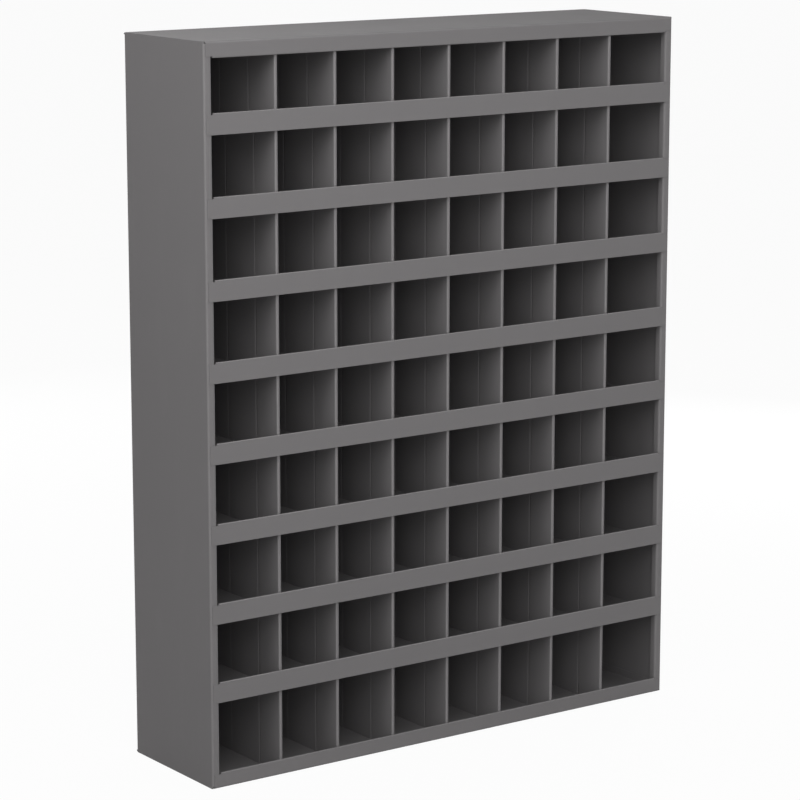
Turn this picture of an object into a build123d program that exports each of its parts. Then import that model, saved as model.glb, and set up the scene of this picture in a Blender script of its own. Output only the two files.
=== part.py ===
# Steel pigeonhole bin: a welded cabinet of folded sheet, open in front, with rows of bins on lipped shelves.
# Millimetres, +Z up, the front faces -Y, the origin is on the floor under the middle of the cabinet.
import os
from math import cos, radians, sin

from build123d import *

# Overall size
width = 838.2
depth = 215.9
height = 1066.8

# Grid of bins, rows counted from the top
row_count = 9
column_count = 8
top_row_height = 128.5
bottom_row_height = 127.0
end_column_width = 119.7

# Sheet steel and the inside radii of its folds
case_gauge = 1.2
pan_gauge = 0.9
divider_gauge = 0.8
case_bend_radius = 2.0
pan_bend_radius = 1.0

# Side panels: a front flange with a return behind it, and a rear flange as wide as the front one
side_flange = 12.7
side_return = 11.0

# Top, bottom and shelves are pans with a hemmed lip, whose ears run across the side flanges
case_lip = 23.0
shelf_lip = 30.2
pan_flange = 12.7
hem_gap = 1.4
hem_length = 8.0
hem_relief = 1.5
hem_round_share = 0.49
ear_drop = 2.5

# Dividers: a teardrop hem on the front edge and two upright grooves, which sit further back in the top row
nose_width = 5.2
nose_lean = 25.0
nose_gap = 0.15
nose_clearance = 0.3
nose_facets = 8
groove_width = 5.0
groove_depth = 0.6
groove_place_shares = (0.27, 0.62)
top_groove_place_shares = (0.33, 0.68)

# Planes that the pieces share
front = -depth / 2
flange_face = front + pan_gauge
back_face = depth / 2 - case_gauge
case_bend = case_gauge + case_bend_radius
cap_bend = pan_gauge + case_bend_radius
pan_bend = pan_gauge + pan_bend_radius
hem_width = 2 * pan_gauge + hem_gap
inner_half = width / 2 - case_gauge
ear_half = width / 2 - case_bend
hem_half = width / 2 - side_flange - hem_relief
pan_front = flange_face + side_return + pan_bend_radius
pan_rear = back_face - case_gauge - case_bend_radius
nose_front = front + max(hem_width, cap_bend) + nose_clearance
divider_pitch = (width - 2 * end_column_width) / (column_count - 2)
shelf_pitch = (height - top_row_height - bottom_row_height) / (row_count - 2)
shelf_floors = [height - top_row_height - shelf_pitch * row for row in range(row_count - 1)]


def folded_section(plane, face_points, radii, gauge, side):
    with BuildSketch(plane) as section:
        with BuildLine():
            face = FilletPolyline(*face_points, radius=radii)
            offset(face, amount=gauge, side=side)
        make_face()
    return section.sketch


def pan_section(floor, lip, bend):
    hem_bend = hem_width * hem_round_share
    face_points = [
        (front + hem_width, floor + lip - hem_length),
        (front + hem_width, floor + lip),
        (front, floor + lip),
        (front, floor),
        (back_face, floor),
        (back_face, floor + pan_flange),
    ]
    return folded_section(Plane.YZ, face_points, [hem_bend, hem_bend, bend, bend], pan_gauge, Side.LEFT)


def divider_section(place_shares):
    roll_radius = nose_width / 2
    roll_place = nose_front + roll_radius
    lean = radians(nose_lean)
    tuck = ((roll_radius - divider_gauge) * (1 + cos(lean)) - nose_gap) / sin(lean)
    web_points = [(-roll_radius, back_face - cap_bend)]
    for share in reversed(place_shares):
        groove = front + depth * share
        web_points.append((-roll_radius, groove + groove_width / 2))
        web_points.append((groove_depth - roll_radius, groove))
        web_points.append((-roll_radius, groove - groove_width / 2))
    turns = [radians(180 + nose_lean) * facet / nose_facets for facet in range(nose_facets + 1)]
    roll_points = [(-roll_radius * cos(turn), roll_place - roll_radius * sin(turn)) for turn in turns]
    with BuildSketch() as section:
        with BuildLine():
            face = Polyline(*web_points, *roll_points)
            PolarLine(face @ 1, tuck, angle=90 + nose_lean)
            offset(amount=divider_gauge, kind=Kind.INTERSECTION, side=Side.LEFT)
        make_face()
    return section.sketch


def keep(piece, label):
    piece.label = label
    export_step(piece, f"parts/{label}.step")


os.makedirs("parts", exist_ok=True)

# Side panels, rabbeted at both ends for the edges of the top and bottom sheets
with BuildPart() as left_side_panel:
    side_points = [
        (side_flange - width / 2, flange_face + side_return),
        (side_flange - width / 2, flange_face),
        (-width / 2, flange_face),
        (-width / 2, back_face),
        (side_flange - width / 2, back_face),
    ]
    extrude(folded_section(Plane.XY, side_points, case_bend, case_gauge, Side.RIGHT), amount=height)
    with Locations((-inner_half, 0, 0), (-inner_half, 0, height - cap_bend)):
        Box(side_flange, depth, cap_bend, align=(Align.MIN, Align.CENTER, Align.MIN), mode=Mode.SUBTRACT)
keep(left_side_panel.part, "left_side_panel")

with BuildPart() as right_side_panel:
    mirror(left_side_panel.part, about=Plane.YZ)
keep(right_side_panel.part, "right_side_panel")

# Bottom panel: the hemmed pan between the side flanges, its full-width front fold, and flanges beside the webs
with BuildPart() as bottom_panel:
    extrude(pan_section(0, case_lip, cap_bend), amount=hem_half, both=True)
    ear_points = [(front, case_lip - ear_drop), (front, 0), (back_face, 0)]
    extrude(folded_section(Plane.YZ, ear_points, cap_bend, pan_gauge, Side.LEFT), amount=ear_half, both=True)
    tray_points = [(-inner_half, pan_flange), (-inner_half, 0), (inner_half, 0), (inner_half, pan_flange)]
    tray_plane = Plane.XZ.offset(-pan_rear)
    extrude(folded_section(tray_plane, tray_points, pan_bend, pan_gauge, Side.LEFT), amount=pan_rear - pan_front)
keep(bottom_panel.part, "bottom_panel")

with BuildPart() as top_panel:
    mirror(bottom_panel.part, about=Plane.XY.offset(height / 2))
keep(top_panel.part, "top_panel")

# Back panel: a flat sheet inside the outer folds
with BuildPart() as back_panel:
    with BuildSketch(Plane.XZ.offset(-depth / 2)):
        with Locations((0, height / 2)):
            Rectangle(2 * ear_half, height - 2 * cap_bend)
    extrude(amount=case_gauge)
keep(back_panel.part, "back_panel")

# Shelves: notched at the corners round the side flanges
for number, floor in enumerate(shelf_floors, start=1):
    with BuildPart() as shelf:
        extrude(pan_section(floor, shelf_lip, pan_bend), amount=hem_half, both=True)
        with BuildSketch(Plane.XZ.offset(-flange_face)):
            with Locations((0, floor)):
                Rectangle(2 * ear_half, shelf_lip - ear_drop, align=(Align.CENTER, Align.MIN))
        extrude(amount=pan_gauge)
        with BuildSketch(Plane.XY.offset(floor)):
            with Locations((0, pan_front)):
                Rectangle(2 * inner_half, pan_rear - pan_front, align=(Align.CENTER, Align.MIN))
        extrude(amount=pan_gauge)
    keep(shelf.part, f"shelf_{number}")

# Dividers: each row stands on its pan and meets the sheet above
for number in range(1, row_count + 1):
    below = shelf_floors[number - 1] if number < row_count else 0
    above = shelf_floors[number - 2] if number > 1 else height - pan_gauge
    place_shares = top_groove_place_shares if number == 1 else groove_place_shares
    with BuildPart() as dividers:
        with BuildSketch(Plane.XY.offset(below + pan_gauge)):
            with GridLocations(divider_pitch, depth, column_count - 1, 1):
                add(divider_section(place_shares))
        extrude(amount=above - below - pan_gauge)
    keep(dividers.part, f"dividers_row_{number}")
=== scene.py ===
from math import cos, radians, sin

import bmesh
import bpy
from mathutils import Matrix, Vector


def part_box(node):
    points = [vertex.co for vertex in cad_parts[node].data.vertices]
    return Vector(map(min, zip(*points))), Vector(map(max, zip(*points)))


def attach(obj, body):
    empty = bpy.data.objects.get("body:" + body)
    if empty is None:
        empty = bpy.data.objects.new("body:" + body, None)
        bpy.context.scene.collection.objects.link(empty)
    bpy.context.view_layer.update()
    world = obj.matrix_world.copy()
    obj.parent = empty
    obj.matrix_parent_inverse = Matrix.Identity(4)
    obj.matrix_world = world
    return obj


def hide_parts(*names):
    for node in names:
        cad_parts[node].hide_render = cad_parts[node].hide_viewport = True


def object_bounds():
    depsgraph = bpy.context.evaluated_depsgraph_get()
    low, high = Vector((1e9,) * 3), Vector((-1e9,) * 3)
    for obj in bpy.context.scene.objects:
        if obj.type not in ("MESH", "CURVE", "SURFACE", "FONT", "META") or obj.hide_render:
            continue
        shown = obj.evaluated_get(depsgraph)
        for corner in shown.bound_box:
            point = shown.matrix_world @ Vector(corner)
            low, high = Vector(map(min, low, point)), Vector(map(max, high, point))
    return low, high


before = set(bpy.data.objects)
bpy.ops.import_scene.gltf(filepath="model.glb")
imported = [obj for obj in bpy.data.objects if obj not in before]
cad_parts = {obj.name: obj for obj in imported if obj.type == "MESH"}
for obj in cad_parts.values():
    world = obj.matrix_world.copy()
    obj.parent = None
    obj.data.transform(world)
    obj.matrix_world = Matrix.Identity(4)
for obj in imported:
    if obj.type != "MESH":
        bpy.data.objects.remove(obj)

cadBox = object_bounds()
mm = 0.001
front, back = cadBox[0].y, cadBox[1].y
caseHeight = cadBox[1].z
print("frame loaded,", len(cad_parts), "nodes")


# Small helpers for node trees

def addNode(tree, kind, **values):
    node = tree.nodes.new(kind)
    for name, value in values.items():
        setattr(node, name, value)
    return node


def wire(tree, source, target):
    tree.links.new(source, target)


def feed(tree, socket, value):
    if isinstance(value, bpy.types.NodeSocket):
        wire(tree, value, socket)
    elif value is not None:
        socket.default_value = value


def addMath(tree, operation, first, second=None, clamp=False):
    node = addNode(tree, "ShaderNodeMath", operation=operation, use_clamp=clamp)
    feed(tree, node.inputs[0], first)
    feed(tree, node.inputs[1], second)
    return node.outputs[0]


def addUp(tree, first, second):
    return addMath(tree, "ADD", first, second)


def multiply(tree, first, second):
    return addMath(tree, "MULTIPLY", first, second)


def addVector(tree, x=0.0, y=0.0, z=0.0):
    node = addNode(tree, "ShaderNodeCombineXYZ")
    for socket, value in zip(node.inputs, (x, y, z)):
        feed(tree, socket, value)
    return node.outputs[0]


def newTree(kind, name, inputs, outputs):
    tree = bpy.data.node_groups.new(name, kind)
    for label, socketKind, value in inputs:
        socket = tree.interface.new_socket(name=label, in_out="INPUT", socket_type=socketKind)
        if value is not None:
            socket.default_value = value
    for label, socketKind in outputs:
        tree.interface.new_socket(name=label, in_out="OUTPUT", socket_type=socketKind)
    return tree, addNode(tree, "NodeGroupInput"), addNode(tree, "NodeGroupOutput")


def newGroup(name, inputs, outputs):
    return newTree("ShaderNodeTree", name, inputs, outputs)


def fitRange(tree, value, low, high):
    node = addNode(tree, "ShaderNodeMapRange", interpolation_type="SMOOTHSTEP", clamp=True)
    wire(tree, value, node.inputs["Value"])
    feed(tree, node.inputs["From Min"], low)
    feed(tree, node.inputs["From Max"], high)
    return node.outputs["Result"]


def addNoise(tree, place, scale, detail, rough):
    node = addNode(tree, "ShaderNodeTexNoise", noise_dimensions="3D")
    wire(tree, place, node.inputs["Vector"])
    node.inputs["Scale"].default_value = scale
    node.inputs["Detail"].default_value = detail
    node.inputs["Roughness"].default_value = rough
    return node.outputs["Fac"]


def scaleColor(tree, color, factor):
    node = addNode(tree, "ShaderNodeVectorMath", operation="SCALE")
    wire(tree, color, node.inputs[0])
    wire(tree, factor, node.inputs["Scale"])
    return node.outputs[0]


# Powder coat: fine orange peel, a salt-and-pepper speckle and slow drifts of tone
# A noise is a scale, a detail and a roughness: 1.6 mm pebbles, half-millimetre grains, hand-sized clouds

coatNoise = {"peel": (620, 2, 0.5), "grain": (1900, 1, 0.5), "drift": (6.5, 3, 0.55)}
coatShares = {"driftGloss": 0.18, "peelGloss": 0.06, "peelHeight": 0.8, "grainHeight": 0.2}


def buildPowderCoat():
    tree, given, result = newGroup(
        "powderCoat",
        [("Paint", "NodeSocketColor", (0.16, 0.16, 0.16, 1)), ("Drift", "NodeSocketFloat", 0.06),
         ("Speckle", "NodeSocketFloat", 0.05), ("Satin", "NodeSocketFloat", 0.75)],
        [("Color", "NodeSocketColor"), ("Roughness", "NodeSocketFloat"), ("Height", "NodeSocketFloat")])
    place = addNode(tree, "ShaderNodeTexCoord").outputs["Object"]
    swing = {}
    for name, noise in coatNoise.items():
        swing[name] = addMath(tree, "SUBTRACT", addNoise(tree, place, *noise), 0.5)
    cloudy = multiply(tree, swing["drift"], given.outputs["Drift"])
    speckled = multiply(tree, swing["grain"], given.outputs["Speckle"])
    tone = addUp(tree, addUp(tree, cloudy, speckled), 1)
    wire(tree, scaleColor(tree, given.outputs["Paint"], tone), result.inputs["Color"])
    gloss = addUp(tree, given.outputs["Satin"], multiply(tree, swing["drift"], coatShares["driftGloss"]))
    gloss = addUp(tree, gloss, multiply(tree, swing["peel"], coatShares["peelGloss"]))
    wire(tree, gloss, result.inputs["Roughness"])
    pebbles = multiply(tree, swing["peel"], coatShares["peelHeight"])
    height = addUp(tree, pebbles, multiply(tree, swing["grain"], coatShares["grainHeight"]))
    wire(tree, height, result.inputs["Height"])
    return tree


# Handling: faint wiped patches and dry rub streaks, longer than they are wide

handlingMarks = {"stretch": (2.2, 2.2, 0.55), "patches": (11, 4, 0.6), "patchRange": (0.52, 0.7),
                 "streaks": (95, 3, 0.65), "streakRange": (0.6, 0.78), "streakShare": 0.6,
                 "tone": 0.03, "gloss": -0.07}


def buildHandling():
    marks = handlingMarks
    tree, given, result = newGroup(
        "handling", [("Amount", "NodeSocketFloat", 1.0)],
        [("Tone", "NodeSocketFloat"), ("Gloss", "NodeSocketFloat")])
    place = addNode(tree, "ShaderNodeTexCoord").outputs["Object"]
    stretch = addNode(tree, "ShaderNodeMapping")
    stretch.inputs["Scale"].default_value = marks["stretch"]
    wire(tree, place, stretch.inputs["Vector"])
    patches = fitRange(tree, addNoise(tree, stretch.outputs[0], *marks["patches"]), *marks["patchRange"])
    streaks = fitRange(tree, addNoise(tree, stretch.outputs[0], *marks["streaks"]), *marks["streakRange"])
    streaky = addUp(tree, multiply(tree, streaks, marks["streakShare"]), 1 - marks["streakShare"])
    markAmount = multiply(tree, multiply(tree, patches, streaky), given.outputs["Amount"])
    wire(tree, addUp(tree, multiply(tree, markAmount, marks["tone"]), 1), result.inputs["Tone"])
    wire(tree, multiply(tree, markAmount, marks["gloss"]), result.inputs["Gloss"])
    return tree


# Inside the bins the powder lands thin and is duller towards the back, with a ragged start

thinStart = {"noise": (24, 3, 0.6), "swing": 0.08}


def buildThinCoat():
    tree, given, result = newGroup(
        "thinCoat", [("Mouth", "NodeSocketFloat", 0.0), ("Deep", "NodeSocketFloat", 0.1)],
        [("Mask", "NodeSocketFloat")])
    place = addNode(tree, "ShaderNodeTexCoord").outputs["Object"]
    split = addNode(tree, "ShaderNodeSeparateXYZ")
    wire(tree, place, split.inputs[0])
    swing = addMath(tree, "SUBTRACT", addNoise(tree, place, *thinStart["noise"]), 0.5)
    ragged = addUp(tree, split.outputs["Y"], multiply(tree, swing, thinStart["swing"]))
    mask = fitRange(tree, ragged, given.outputs["Mouth"], given.outputs["Deep"])
    wire(tree, mask, result.inputs["Mask"])
    return tree


# Painted highlight on folds: their colour is made a shade lighter, not at all on faces square to the case,
# fully half-way round a fold, and broken into patches

paintedFoldHighlight = {"least": 0.01, "full": 0.14, "patches": (30, 3, 0.6)}


def buildPaintedFoldHighlight():
    tree, given, result = newGroup(
        "paintedFoldHighlight", [("Amount", "NodeSocketFloat", 0.1)], [("Tone", "NodeSocketFloat")])
    place = addNode(tree, "ShaderNodeTexCoord")
    split = addNode(tree, "ShaderNodeSeparateXYZ")
    wire(tree, place.outputs["Normal"], split.inputs[0])
    square = addMath(tree, "ABSOLUTE", split.outputs["X"])
    for axis in ("Y", "Z"):
        square = addMath(tree, "MAXIMUM", square, addMath(tree, "ABSOLUTE", split.outputs[axis]))
    turned = fitRange(tree, addMath(tree, "SUBTRACT", 1, square), paintedFoldHighlight["least"], paintedFoldHighlight["full"])
    patchy = addUp(tree, addNoise(tree, place.outputs["Object"], *paintedFoldHighlight["patches"]), 0.5)
    # strength of the painted fold highlight: how far round a fold, times the patches, times the amount
    markAmount = multiply(tree, multiply(tree, turned, patchy), given.outputs["Amount"])
    wire(tree, addUp(tree, markAmount, 1), result.inputs["Tone"])
    return tree


powderCoat = buildPowderCoat()
handling = buildHandling()
thinCoat = buildThinCoat()
foldHighlightGroup = buildPaintedFoldHighlight()
print("shader groups built")


# Paints

def makePaint(name, look):
    paint = bpy.data.materials.new(name)
    paint.use_nodes = True
    tree = paint.node_tree
    tree.nodes.clear()
    surface = addNode(tree, "ShaderNodeBsdfPrincipled")
    output = addNode(tree, "ShaderNodeOutputMaterial")
    coat = addNode(tree, "ShaderNodeGroup", node_tree=powderCoat)
    coat.inputs["Paint"].default_value = (*look["color"], 1)
    for label in ("Drift", "Speckle", "Satin"):
        coat.inputs[label].default_value = look[label.lower()]
    marks = addNode(tree, "ShaderNodeGroup", node_tree=handling)
    marks.inputs["Amount"].default_value = look["handling"]
    color = scaleColor(tree, coat.outputs["Color"], marks.outputs["Tone"])
    # painted highlight: the colour is lightened round the folds
    folds = addNode(tree, "ShaderNodeGroup", node_tree=foldHighlightGroup)
    folds.inputs["Amount"].default_value = look["paintedFoldHighlight"]
    color = scaleColor(tree, color, folds.outputs["Tone"])
    rough = addUp(tree, coat.outputs["Roughness"], marks.outputs["Gloss"])
    if "dull" in look:
        inside = addNode(tree, "ShaderNodeGroup", node_tree=thinCoat)
        inside.inputs["Mouth"].default_value = front + look["mouth"]
        inside.inputs["Deep"].default_value = back
        rough = addUp(tree, rough, multiply(tree, inside.outputs["Mask"], look["dull"]))
    bump = addNode(tree, "ShaderNodeBump")
    bump.inputs["Strength"].default_value = look["peel"]
    bump.inputs["Distance"].default_value = look["peelDepth"]
    wire(tree, coat.outputs["Height"], bump.inputs["Height"])
    wire(tree, color, surface.inputs["Base Color"])
    wire(tree, rough, surface.inputs["Roughness"])
    wire(tree, bump.outputs["Normal"], surface.inputs["Normal"])
    surface.inputs["Specular IOR Level"].default_value = look["shine"]
    wire(tree, surface.outputs["BSDF"], output.inputs["Surface"])
    return paint


# the fold entry sets how strong the painted highlight on folds is; shelves and dividers get a stronger one
caseLook = {"color": (0.1642, 0.158, 0.1602), "drift": 0.06, "speckle": 0.05, "satin": 0.75, "shine": 0.25,
            "peel": 0.25, "peelDepth": 0.08 * mm, "handling": 1.0, "paintedFoldHighlight": 0.1}
innerLook = {**caseLook, "handling": 0.6, "paintedFoldHighlight": 0.26, "dull": 0.05, "mouth": 40 * mm}
casePaint = makePaint("casePaint", caseLook)
shelfPaint = makePaint("shelfPaint", {**innerLook, "drift": 0.05})
dividerPaint = makePaint("dividerPaint", {**innerLook, "drift": 0.08})
backPaint = makePaint("backPaint", {**caseLook, "drift": 0.09, "handling": 1.4})
print("paints mixed")


# Pieces: each one stands for CAD nodes, sits at the origin and rides on the one body

def finishPiece(piece, paint, *nodes):
    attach(piece, "root")
    if nodes:
        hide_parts(*nodes)
    if not piece.data.materials:
        piece.data.materials.append(paint)


def newObject(name, mesh):
    piece = bpy.data.objects.new(name, mesh)
    bpy.context.scene.collection.objects.link(piece)
    return piece


# Flat faces keep their own normal and the folds between them turn smoothly
flatShade = {"mode": "FACE_AREA", "weight": 100, "thresh": 10 * mm ** 2, "keep_sharp": True}


def bakeModifiers(piece):
    flats = piece.modifiers.new("flatFaces", "WEIGHTED_NORMAL")
    for name, value in flatShade.items():
        setattr(flats, name, value)
    drawn = bpy.data.meshes.new_from_object(piece.evaluated_get(bpy.context.evaluated_depsgraph_get()))
    rough = piece.data
    piece.modifiers.clear()
    piece.data = drawn
    drawn.name = piece.name
    bpy.data.meshes.remove(rough)


# Folded case and shelves: the solids' own sheets, joined up and shaded round their folds

sheetShade = {"sharpAngle": 50.0, "join": 0.001 * mm}


def copySheet(name, node, paint):
    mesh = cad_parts[node].data.copy()
    mesh.name = name
    sheet = bmesh.new()
    sheet.from_mesh(mesh)
    bmesh.ops.remove_doubles(sheet, verts=sheet.verts, dist=sheetShade["join"])
    for face in sheet.faces:
        face.smooth = True
    for edge in sheet.edges:
        joined = len(edge.link_faces) == 2
        edge.smooth = joined and edge.calc_face_angle(0) < radians(sheetShade["sharpAngle"])
    sheet.to_mesh(mesh)
    sheet.free()
    mesh.materials.clear()
    mesh.materials.append(paint)
    piece = newObject(name, mesh)
    bakeModifiers(piece)
    finishPiece(piece, paint, node)


caseSheets = {"leftSide": "left_side_panel", "rightSide": "right_side_panel", "topSheet": "top_panel",
              "bottomSheet": "bottom_panel"}
for name, node in caseSheets.items():
    copySheet(name, node, casePaint)
shelfNodes = sorted(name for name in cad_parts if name.startswith("shelf_"))
for node in shelfNodes:
    copySheet("shelfPan" + node.split("_")[1], node, shelfPaint)
print("case sheets and", len(shelfNodes), "shelf pans dressed")


# Dividers: one section folded like the real sheet, drawn up to the row's height and set out along it

dividerFold = {"gauge": 0.8 * mm, "roll": 2.6 * mm, "lean": 25.0, "gap": 0.15 * mm, "swageWidth": 5.0 * mm,
               "swageAngle": 18.0, "swageRadius": 2.0 * mm, "swages": (0.27, 0.62), "topSwages": (0.33, 0.68),
               "arcStep": 9.0, "count": 7, "sharpAngle": 40.0, "join": 0.001 * mm}


def foldPath(start, heading, moves, step):
    # a run is a length, a bend is (radius, degrees) with left turns positive
    x, y = start
    turn = radians(heading)
    stations = [(x, y, turn)]
    for move in moves:
        if not isinstance(move, tuple):
            x, y = x + move * cos(turn), y + move * sin(turn)
            stations.append((x, y, turn))
            continue
        radius, degrees = move
        side = 1 if degrees > 0 else -1
        hub = (x - side * radius * sin(turn), y + side * radius * cos(turn))
        parts = max(2, round(abs(degrees) / step))
        for part in range(parts):
            turn += radians(degrees) / parts
            x, y = hub[0] + side * radius * sin(turn), hub[1] - side * radius * cos(turn)
            stations.append((x, y, turn))
    return stations


def sheetSection(name, stations, gauge):
    # the face line and the line a gauge to its left, joined by quads
    count = len(stations)
    outer = [(x, y, 0) for x, y, turn in stations]
    inner = [(x - gauge * sin(turn), y + gauge * cos(turn), 0) for x, y, turn in stations]
    quads = [(k, k + 1, count + k + 1, count + k) for k in range(count - 1)]
    mesh = bpy.data.meshes.new(name)
    mesh.from_pydata(outer + inner, [], quads)
    return mesh


def dividerSection(name, swages, noseFront, rear):
    fold = dividerFold
    roll, lean, width = fold["roll"], radians(fold["lean"]), fold["swageWidth"]
    angle, radius = fold["swageAngle"], fold["swageRadius"]
    flank = (width - 4 * radius * sin(radians(angle))) / 2 / cos(radians(angle))
    swage = [(radius, angle), flank, (radius, -2 * angle), flank, (radius, angle)]
    tuck = ((roll - fold["gauge"]) * (1 + cos(lean)) - fold["gap"]) / sin(lean)
    moves, place = [], rear
    for share in reversed(swages):
        middle = front + (back - front) * share
        moves += [place - middle - width / 2, *swage]
        place = middle - width / 2
    moves += [place - noseFront - roll, (roll, 180 + fold["lean"]), tuck]
    return sheetSection(name, foldPath((-roll, rear), -90, moves, fold["arcStep"]), fold["gauge"])


def shadeFolds(tree, mesh, sharpAngle):
    smooth = addNode(tree, "GeometryNodeSetShadeSmooth", domain="FACE")
    wire(tree, mesh, smooth.inputs[0])
    bend = addNode(tree, "GeometryNodeInputMeshEdgeAngle")
    crisp = addNode(tree, "FunctionNodeCompare", data_type="FLOAT", operation="GREATER_THAN")
    wire(tree, bend.outputs["Unsigned Angle"], crisp.inputs[0])
    wire(tree, sharpAngle, crisp.inputs[1])
    split = addNode(tree, "GeometryNodeSetShadeSmooth", domain="EDGE")
    wire(tree, smooth.outputs[0], split.inputs[0])
    wire(tree, crisp.outputs[0], split.inputs["Selection"])
    split.inputs["Shade Smooth"].default_value = False
    return split.outputs[0]


def buildDividerRow():
    tree, given, result = newTree(
        "GeometryNodeTree", "dividerRow",
        [("Geometry", "NodeSocketGeometry", None), ("Height", "NodeSocketFloat", 0.1),
         ("Floor", "NodeSocketFloat", 0.0), ("Count", "NodeSocketInt", 7), ("Pitch", "NodeSocketFloat", 0.1),
         ("Sharp Angle", "NodeSocketFloat", 0.7), ("Paint", "NodeSocketMaterial", None)],
        [("Geometry", "NodeSocketGeometry")])
    sheet = addNode(tree, "GeometryNodeExtrudeMesh", mode="FACES")
    wire(tree, given.outputs["Geometry"], sheet.inputs["Mesh"])
    wire(tree, addVector(tree, z=given.outputs["Height"]), sheet.inputs["Offset"])
    sheet.inputs["Individual"].default_value = False
    foot = addNode(tree, "GeometryNodeFlipFaces")
    wire(tree, given.outputs["Geometry"], foot.inputs["Mesh"])
    both = addNode(tree, "GeometryNodeJoinGeometry")
    wire(tree, sheet.outputs["Mesh"], both.inputs[0])
    wire(tree, foot.outputs[0], both.inputs[0])
    weld = addNode(tree, "GeometryNodeMergeByDistance")
    wire(tree, both.outputs[0], weld.inputs["Geometry"])
    weld.inputs["Distance"].default_value = dividerFold["join"]
    gaps = addMath(tree, "SUBTRACT", given.outputs["Count"], 1)
    first = multiply(tree, multiply(tree, given.outputs["Pitch"], gaps), -0.5)
    line = addNode(tree, "GeometryNodeMeshLine", mode="OFFSET")
    wire(tree, given.outputs["Count"], line.inputs["Count"])
    wire(tree, addVector(tree, x=first, z=given.outputs["Floor"]), line.inputs["Start Location"])
    wire(tree, addVector(tree, x=given.outputs["Pitch"]), line.inputs["Offset"])
    row = addNode(tree, "GeometryNodeInstanceOnPoints")
    wire(tree, line.outputs["Mesh"], row.inputs["Points"])
    wire(tree, weld.outputs[0], row.inputs["Instance"])
    real = addNode(tree, "GeometryNodeRealizeInstances")
    wire(tree, row.outputs[0], real.inputs[0])
    coated = addNode(tree, "GeometryNodeSetMaterial")
    wire(tree, shadeFolds(tree, real.outputs[0], given.outputs["Sharp Angle"]), coated.inputs["Geometry"])
    wire(tree, given.outputs["Paint"], coated.inputs["Material"])
    wire(tree, coated.outputs[0], result.inputs["Geometry"])
    return tree


def growPiece(name, mesh, tree, values):
    piece = newObject(name, mesh)
    grow = piece.modifiers.new(tree.name, "NODES")
    grow.node_group = tree
    sockets = {item.name: item.identifier for item in tree.interface.items_tree if item.in_out == "INPUT"}
    for label, value in values.items():
        grow[sockets[label]] = value
    bakeModifiers(piece)
    return piece


dividerRow = buildDividerRow()
rowNodes = sorted(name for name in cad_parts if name.startswith("dividers_row_"))
for node in rowNodes:
    low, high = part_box(node)
    number = node.split("_")[-1]
    swages = dividerFold["topSwages"] if number == "1" else dividerFold["swages"]
    count = dividerFold["count"]
    pitch = (high.x - low.x - 2 * dividerFold["roll"]) / (count - 1)
    section = dividerSection("dividerSection" + number, swages, low.y, high.y)
    piece = growPiece("dividersRow" + number, section, dividerRow, {
        "Height": high.z - low.z, "Floor": low.z, "Count": count, "Pitch": pitch,
        "Sharp Angle": radians(dividerFold["sharpAngle"]), "Paint": dividerPaint})
    finishPiece(piece, dividerPaint, node)
print(len(rowNodes), "rows of dividers folded")


# Back sheet: spot-weld dimples where the shelves' rear flanges and the case flanges are welded on

backWelds = {"radius": 4.0 * mm, "floorShare": 0.5, "depth": 0.4 * mm, "sides": 14, "flangeMiddle": 6.5 * mm,
             "columns": 9, "inset": 26 * mm, "sideStep": 96 * mm, "sharpAngle": 8.0,
             "join": 0.01 * mm}


def weldSpots(low, high):
    spots = []
    width = high.x - low.x - 2 * backWelds["inset"]
    columns = backWelds["columns"]
    across = [low.x + backWelds["inset"] + width * k / (columns - 1) for k in range(columns)]
    levels = [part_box(node)[0].z + backWelds["flangeMiddle"] for node in shelfNodes]
    levels += [low.z + backWelds["flangeMiddle"], high.z - backWelds["flangeMiddle"]]
    for level in levels:
        spots += [(x, level) for x in across]
    for x in (low.x + backWelds["flangeMiddle"], high.x - backWelds["flangeMiddle"]):
        steps = int((high.z - low.z) / backWelds["sideStep"])
        spots += [(x, low.z + (high.z - low.z) * (k + 0.5) / steps) for k in range(steps)]
    return spots


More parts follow.
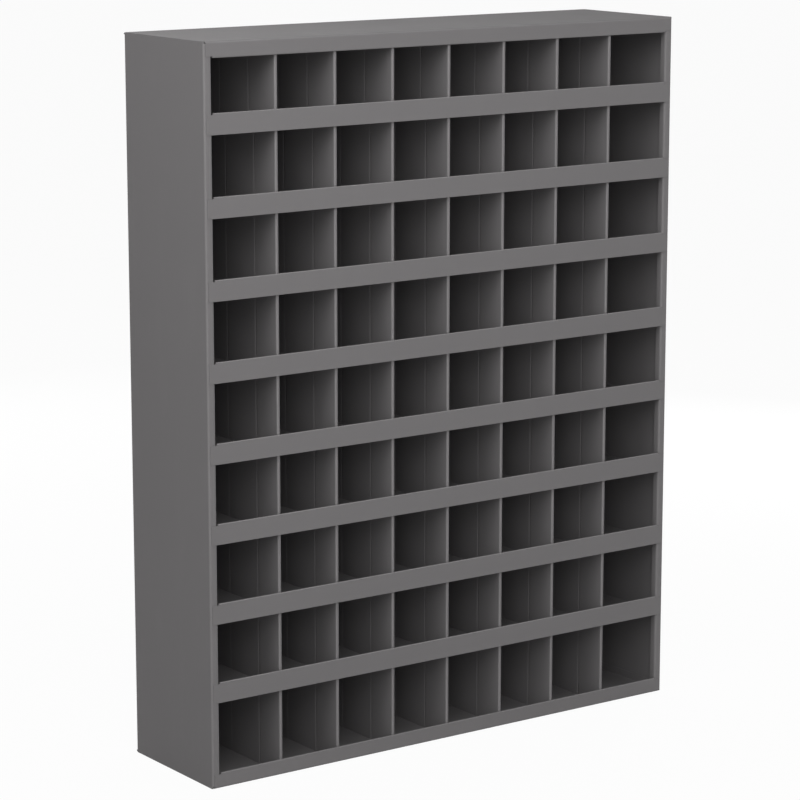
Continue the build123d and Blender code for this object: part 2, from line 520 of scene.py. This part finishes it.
def buildBackSheet():
    tree, given, result = newTree(
        "GeometryNodeTree", "backSheet",
        [("Geometry", "NodeSocketGeometry", None), ("Width", "NodeSocketFloat", 0.8),
         ("Height", "NodeSocketFloat", 1.0), ("Gauge", "NodeSocketFloat", 0.0012),
         ("Middle", "NodeSocketVector", None), ("Radius", "NodeSocketFloat", 0.004),
         ("Floor Share", "NodeSocketFloat", 0.5), ("Depth", "NodeSocketFloat", 0.0004),
         ("Sides", "NodeSocketInt", 14), ("Sharp Angle", "NodeSocketFloat", 0.14),
         ("Paint", "NodeSocketMaterial", None)],
        [("Geometry", "NodeSocketGeometry")])
    # the outer skin is drawn flat, with a hole for each dimple
    outline = addNode(tree, "GeometryNodeCurvePrimitiveQuadrilateral", mode="RECTANGLE")
    wire(tree, given.outputs["Width"], outline.inputs["Width"])
    wire(tree, given.outputs["Height"], outline.inputs["Height"])
    ring = addNode(tree, "GeometryNodeCurvePrimitiveCircle", mode="RADIUS")
    wire(tree, given.outputs["Sides"], ring.inputs["Resolution"])
    wire(tree, given.outputs["Radius"], ring.inputs["Radius"])
    holes = addNode(tree, "GeometryNodeInstanceOnPoints")
    wire(tree, given.outputs["Geometry"], holes.inputs["Points"])
    wire(tree, ring.outputs["Curve"], holes.inputs["Instance"])
    loose = addNode(tree, "GeometryNodeRealizeInstances")
    wire(tree, holes.outputs[0], loose.inputs[0])
    lines = addNode(tree, "GeometryNodeJoinGeometry")
    wire(tree, outline.outputs["Curve"], lines.inputs[0])
    wire(tree, loose.outputs[0], lines.inputs[0])
    skin = addNode(tree, "GeometryNodeFillCurve")
    wire(tree, lines.outputs[0], skin.inputs[0])
    # a dimple is a shallow cup, open at the top
    cup = addNode(tree, "GeometryNodeMeshCone", fill_type="NGON")
    wire(tree, given.outputs["Sides"], cup.inputs["Vertices"])
    floorRadius = multiply(tree, given.outputs["Radius"], given.outputs["Floor Share"])
    wire(tree, floorRadius, cup.inputs["Radius Top"])
    wire(tree, given.outputs["Radius"], cup.inputs["Radius Bottom"])
    wire(tree, given.outputs["Depth"], cup.inputs["Depth"])
    lidless = addNode(tree, "GeometryNodeDeleteGeometry", domain="FACE")
    wire(tree, cup.outputs["Mesh"], lidless.inputs["Geometry"])
    wire(tree, cup.outputs["Bottom"], lidless.inputs["Selection"])
    sunk = addNode(tree, "GeometryNodeTransform")
    wire(tree, lidless.outputs[0], sunk.inputs["Geometry"])
    sunk.inputs["Scale"].default_value = (1, 1, -1)
    cups = addNode(tree, "GeometryNodeInstanceOnPoints")
    wire(tree, given.outputs["Geometry"], cups.inputs["Points"])
    wire(tree, sunk.outputs[0], cups.inputs["Instance"])
    # the plate behind the skin is a box without its outer face
    plate = addNode(tree, "GeometryNodeMeshCube")
    size = addVector(tree, given.outputs["Width"], given.outputs["Height"], given.outputs["Gauge"])
    wire(tree, size, plate.inputs["Size"])
    shift = addNode(tree, "GeometryNodeTransform")
    wire(tree, plate.outputs["Mesh"], shift.inputs["Geometry"])
    wire(tree, addVector(tree, z=multiply(tree, given.outputs["Gauge"], -0.5)), shift.inputs["Translation"])
    facing = addNode(tree, "ShaderNodeSeparateXYZ")
    wire(tree, addNode(tree, "GeometryNodeInputNormal").outputs[0], facing.inputs[0])
    openPlate = addNode(tree, "GeometryNodeDeleteGeometry", domain="FACE")
    wire(tree, shift.outputs[0], openPlate.inputs["Geometry"])
    wire(tree, addMath(tree, "GREATER_THAN", facing.outputs["Z"], 0.9), openPlate.inputs["Selection"])
    whole = addNode(tree, "GeometryNodeJoinGeometry")
    for part in (skin.outputs[0], cups.outputs[0], openPlate.outputs[0]):
        wire(tree, part, whole.inputs[0])
    real = addNode(tree, "GeometryNodeRealizeInstances")
    wire(tree, whole.outputs[0], real.inputs[0])
    weld = addNode(tree, "GeometryNodeMergeByDistance")
    wire(tree, real.outputs[0], weld.inputs["Geometry"])
    weld.inputs["Distance"].default_value = backWelds["join"]
    # stood up: the drawing's x runs to the left seen from behind, its z points out of the back
    upright = addNode(tree, "GeometryNodeTransform")
    wire(tree, weld.outputs[0], upright.inputs["Geometry"])
    upright.inputs["Rotation"].default_value = (radians(90), 0, radians(180))
    wire(tree, given.outputs["Middle"], upright.inputs["Translation"])
    coated = addNode(tree, "GeometryNodeSetMaterial")
    wire(tree, shadeFolds(tree, upright.outputs[0], given.outputs["Sharp Angle"]), coated.inputs["Geometry"])
    wire(tree, given.outputs["Paint"], coated.inputs["Material"])
    wire(tree, coated.outputs[0], result.inputs["Geometry"])
    return tree


low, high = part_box("back_panel")
spots = weldSpots(low, high)
middle = Vector(((low.x + high.x) / 2, high.y, (low.z + high.z) / 2))
spotMesh = bpy.data.meshes.new("weldSpots")
spotMesh.from_pydata([(middle.x - x, z - middle.z, 0) for x, z in spots], [], [])
piece = growPiece("backSheet", spotMesh, buildBackSheet(), {
    "Width": high.x - low.x, "Height": high.z - low.z, "Gauge": high.y - low.y, "Middle": middle,
    "Radius": backWelds["radius"], "Floor Share": backWelds["floorShare"], "Depth": backWelds["depth"],
    "Sides": backWelds["sides"], "Sharp Angle": radians(backWelds["sharpAngle"]), "Paint": backPaint})
finishPiece(piece, backPaint, "back_panel")
print("back sheet with", len(spots), "weld dimples")


# Corner welds: beads that close the notches in the case's rear corners

cornerWelds = {"length": 14.0 * mm, "radius": 1.15 * mm, "sides": 18, "inset": 7.7 * mm, "rise": 1.9 * mm,
               "depth": 1.2 * mm, "sharpAngle": 50.0}


def buildCornerBeads():
    tree, given, result = newTree(
        "GeometryNodeTree", "cornerBeads",
        [("Geometry", "NodeSocketGeometry", None), ("Length", "NodeSocketFloat", 0.014),
         ("Radius", "NodeSocketFloat", 0.001), ("Sides", "NodeSocketInt", 18),
         ("Sharp Angle", "NodeSocketFloat", 0.9), ("Paint", "NodeSocketMaterial", None)],
        [("Geometry", "NodeSocketGeometry")])
    rod = addNode(tree, "GeometryNodeMeshCylinder", fill_type="NGON")
    wire(tree, given.outputs["Sides"], rod.inputs["Vertices"])
    wire(tree, given.outputs["Radius"], rod.inputs["Radius"])
    wire(tree, given.outputs["Length"], rod.inputs["Depth"])
    beads = addNode(tree, "GeometryNodeInstanceOnPoints")
    wire(tree, given.outputs["Geometry"], beads.inputs["Points"])
    wire(tree, rod.outputs["Mesh"], beads.inputs["Instance"])
    beads.inputs["Rotation"].default_value = (0, radians(90), 0)
    real = addNode(tree, "GeometryNodeRealizeInstances")
    wire(tree, beads.outputs[0], real.inputs[0])
    coated = addNode(tree, "GeometryNodeSetMaterial")
    wire(tree, shadeFolds(tree, real.outputs[0], given.outputs["Sharp Angle"]), coated.inputs["Geometry"])
    wire(tree, given.outputs["Paint"], coated.inputs["Material"])
    wire(tree, coated.outputs[0], result.inputs["Geometry"])
    return tree


halfWidth = cadBox[1].x - cornerWelds["inset"]
levels = (cornerWelds["rise"], caseHeight - cornerWelds["rise"])
beadMesh = bpy.data.meshes.new("cornerSpots")
corners = [(x, back - cornerWelds["depth"], z) for x in (-halfWidth, halfWidth) for z in levels]
beadMesh.from_pydata(corners, [], [])
piece = growPiece("cornerBeads", beadMesh, buildCornerBeads(), {
    "Length": cornerWelds["length"], "Radius": cornerWelds["radius"], "Sides": cornerWelds["sides"],
    "Sharp Angle": radians(cornerWelds["sharpAngle"]), "Paint": backPaint})
finishPiece(piece, backPaint)
print("rear corners welded")


# Studio: floor, light and camera

studio = {"floorSize": 60.0, "floorColor": (0.62, 0.62, 0.62), "whiteShare": 0.96, "worldLevel": 0.04,
          "wallColor": (0.965, 0.965, 0.965)}


def seenDirectly(tree):
    # what the camera and mirror-like rays see instead of the light
    rays = addNode(tree, "ShaderNodeLightPath")
    seen = addMath(tree, "MAXIMUM", rays.outputs["Is Camera Ray"], rays.outputs["Is Glossy Ray"])
    return addMath(tree, "MAXIMUM", seen, rays.outputs["Is Transmission Ray"])


def buildFloor():
    half = studio["floorSize"] / 2
    mesh = bpy.data.meshes.new("floor")
    corners = [(-half, -half, 0), (half, -half, 0), (half, half, 0), (-half, half, 0)]
    mesh.from_pydata(corners, [], [(0, 1, 2, 3)])
    floor = newObject("floor", mesh)
    pale = bpy.data.materials.new("paleFloor")
    pale.use_nodes = True
    tree = pale.node_tree
    tree.nodes.clear()
    matt = addNode(tree, "ShaderNodeBsdfDiffuse")
    matt.inputs["Color"].default_value = (*studio["floorColor"], 1)
    white = addNode(tree, "ShaderNodeEmission")
    blend = addNode(tree, "ShaderNodeMixShader")
    output = addNode(tree, "ShaderNodeOutputMaterial")
    wire(tree, multiply(tree, seenDirectly(tree), studio["whiteShare"]), blend.inputs[0])
    wire(tree, matt.outputs[0], blend.inputs[1])
    wire(tree, white.outputs[0], blend.inputs[2])
    wire(tree, blend.outputs[0], output.inputs["Surface"])
    mesh.materials.append(pale)


def buildWorld():
    world = bpy.data.worlds.new("studioAir")
    bpy.context.scene.world = world
    world.use_nodes = True
    tree = world.node_tree
    tree.nodes.clear()
    air = addNode(tree, "ShaderNodeBackground")
    air.inputs["Strength"].default_value = studio["worldLevel"]
    white = addNode(tree, "ShaderNodeBackground")
    white.inputs["Color"].default_value = (*studio["wallColor"], 1)
    blend = addNode(tree, "ShaderNodeMixShader")
    output = addNode(tree, "ShaderNodeOutputWorld")
    wire(tree, seenDirectly(tree), blend.inputs[0])
    wire(tree, air.outputs[0], blend.inputs[1])
    wire(tree, white.outputs[0], blend.inputs[2])
    wire(tree, blend.outputs[0], output.inputs["Surface"])


def addSoftbox(name, place, aim, size, watts):
    lamp = bpy.data.lights.new(name, "AREA")
    lamp.shape = "RECTANGLE"
    lamp.size, lamp.size_y = size
    lamp.energy = watts
    box = bpy.data.objects.new(name, lamp)
    box.location = place
    box.rotation_euler = (Vector(aim) - Vector(place)).to_track_quat("-Z", "Y").to_euler()
    box.visible_camera = False
    bpy.context.scene.collection.objects.link(box)


softboxes = {
    "keyBox": {"place": (-2.7, -3.217, 2.8), "aim": (0, 0, 0.55), "size": (2.0, 1.6), "watts": 33},
    "midBox": {"place": (-2.409, -3.44, 1.5), "aim": (0, 0, 0.55), "size": (1.8, 1.4), "watts": 10},
    "lowBox": {"place": (-2.409, -3.44, 0.5), "aim": (0, 0, 0.55), "size": (1.8, 0.9), "watts": 10},
    "faceBox": {"place": (0.2, -5.0, 0.85), "aim": (0, 0, 0.55), "size": (1.8, 1.4), "watts": 24},
    "frontBox": {"place": (-0.958, -2.631, 1.7), "aim": (0, 0, 0.55), "size": (1.6, 1.4), "watts": 10},
    "frontHighBox": {"place": (-1.1, -1.905, 2.6), "aim": (0, 0, 0.55), "size": (1.6, 1.2), "watts": 12},
    "leftHighBox": {"place": (-1.785, -0.65, 2.3), "aim": (0, 0, 0.55), "size": (1.4, 1.2), "watts": 25},
    "overBox": {"place": (-0.9, -0.9, 2.3), "aim": (-0.2, 0, 0.8), "size": (1.0, 1.0), "watts": 4},
    "rightHighBox": {"place": (1.414, -1.685, 2.2), "aim": (0, 0, 0.55), "size": (1.2, 1.0), "watts": 13},
    "rightSideBox": {"place": (2.25, 1.3, 0.78), "aim": (0.3, 0, 0.5), "size": (1.4, 0.45), "watts": 42},
    "rearLowBox": {"place": (0.25, 2.8, 0.78), "aim": (0.25, 0, 0.5), "size": (1.3, 0.45), "watts": 20},
    "rearBox": {"place": (0.625, 3.545, 2.6), "aim": (0, 0, 0.55), "size": (2.0, 1.6), "watts": 25},
}
buildFloor()
buildWorld()
for name, lamp in softboxes.items():
    addSoftbox(name, **lamp)

photoCamera = {"place": (-2.5541, -3.5680, 1.383), "yaw": 35.45, "pitch": -11.34, "lens": 133.51,
               "sensor": 36.0}
lens = bpy.data.cameras.new("photoCamera")
lens.sensor_width = photoCamera["sensor"]
lens.lens = photoCamera["lens"]
camera = bpy.data.objects.new("photoCamera", lens)
camera.location = photoCamera["place"]
camera.rotation_euler = (radians(90 + photoCamera["pitch"]), 0, -radians(photoCamera["yaw"]))
bpy.context.scene.collection.objects.link(camera)
bpy.context.scene.camera = camera
bpy.context.scene.view_settings.view_transform = "Standard"
print("studio ready")
